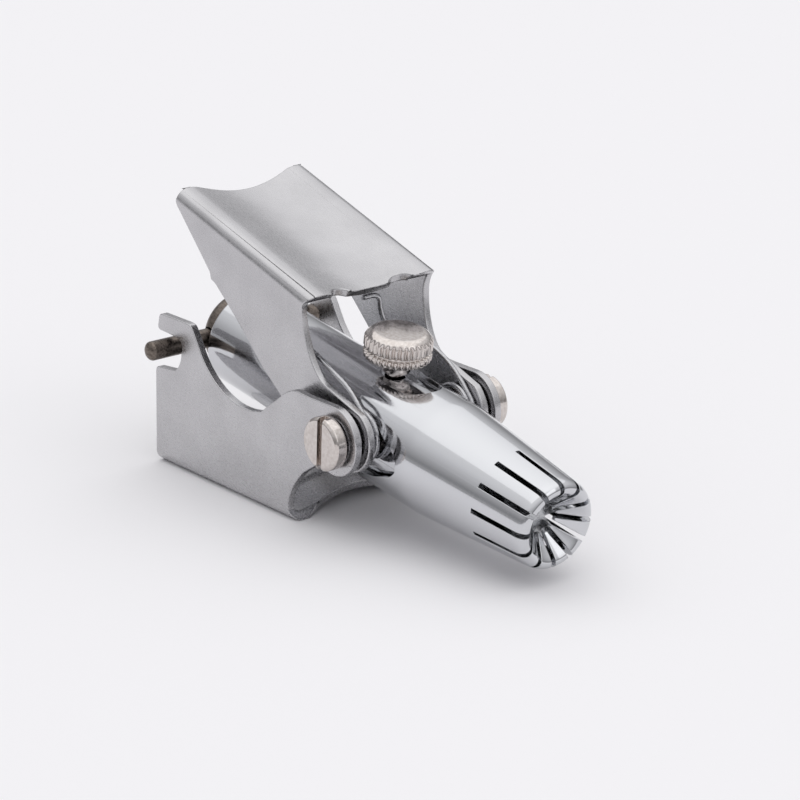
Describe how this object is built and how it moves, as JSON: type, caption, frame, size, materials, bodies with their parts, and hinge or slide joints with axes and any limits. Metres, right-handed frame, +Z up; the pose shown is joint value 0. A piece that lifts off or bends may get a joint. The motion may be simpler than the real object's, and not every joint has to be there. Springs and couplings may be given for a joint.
{
  "type": "nose hair trimmer",
  "caption": "Squeeze-handle nose hair trimmer: two pressed steel handles on one axis drive a plunger that turns a cutter inside a tapered, slotted guard.",
  "frame": {"origin": "on the table, under the middle of the box round the whole tool", "axes": "+X towards the slotted guard, +Y to the tool's left, +Z up; the lower handle stands flat on Z = 0 and the barrel points 7.6 degrees nose down"},
  "size_m": [0.0582, 0.026, 0.0325],
  "materials": {
    "chrome": "mirror polish",
    "nickel": "bright nickel plate",
    "pressed_steel": "satin rolled sheet",
    "gunmetal": "black nickel plate",
    "blade_steel": "ground",
    "spring_steel": "drawn wire"
  },
  "bodies": {
    "frame": {"barrel": "chrome", "pivot_bush_left": "nickel", "pivot_bush_right": "nickel", "pivot_screw_left": "nickel", "pivot_screw_right": "nickel", "head_washer_left": "pressed_steel", "head_washer_right": "pressed_steel", "spacer_washer_left": "pressed_steel", "spacer_washer_right": "pressed_steel", "guide_bush": "gunmetal", "thrust_washer": "pressed_steel", "spring_stop": "gunmetal", "plunger_spring": "spring_steel", "return_spring": "spring_steel"},
    "upper_handle": {"upper_handle": "pressed_steel"},
    "lower_handle": {"lower_handle": "pressed_steel"},
    "plunger": {"plunger": "gunmetal", "cross_pin": "gunmetal", "spindle_nut": "nickel"},
    "cutter": {"cutter": "blade_steel", "spindle": "blade_steel"},
    "guard": {"guard": "chrome"},
    "thumb_screw": {"thumb_screw": "nickel"}
  },
  "joints": [
    {"name": "upper_handle_pivot", "type": "hinge", "parent": "frame", "child": "upper_handle", "pos_m": [0.00341, 0, 0.0115], "axis": [0, -1, 0], "range_deg": [0, 18], "stiffness_Nm_per_rad": 0.2, "springref_deg": -8.59, "deforming": ["return_spring"]},
    {"name": "lower_handle_pivot", "type": "hinge", "parent": "frame", "child": "lower_handle", "pos_m": [0.00341, 0, 0.0115], "axis": [0, 1, 0], "range_deg": [0, 2.5], "stiffness_Nm_per_rad": 0.2, "springref_deg": -8.59},
    {"name": "plunger_slide", "type": "slide", "parent": "frame", "child": "plunger", "axis": [-0.9912, 0, 0.1323], "range_m": [0, 0.0041], "deforming": ["plunger_spring"]},
    {"name": "cutter_spin", "type": "hinge", "parent": "frame", "child": "cutter", "pos_m": [0.00323, 0, 0.01016], "axis": [0.9912, 0, -0.1323], "range_deg": [0, 104]},
    {"name": "thumb_screw_turn", "type": "hinge", "parent": "frame", "child": "thumb_screw", "pos_m": [0.0014, 0, 0.01681], "axis": [0.1323, 0, 0.9912], "range_deg": [0, 360]},
    {"name": "guard_slide", "type": "slide", "parent": "frame", "child": "guard", "axis": [0.9912, 0, -0.1323], "range_m": [0, 0.03]}
  ],
  "couplings": [
    {"joint": "plunger_slide", "follows": "upper_handle_pivot", "m_per_rad": 0.012732},
    {"joint": "cutter_spin", "follows": "upper_handle_pivot", "ratio": 5.7143}
  ]
}
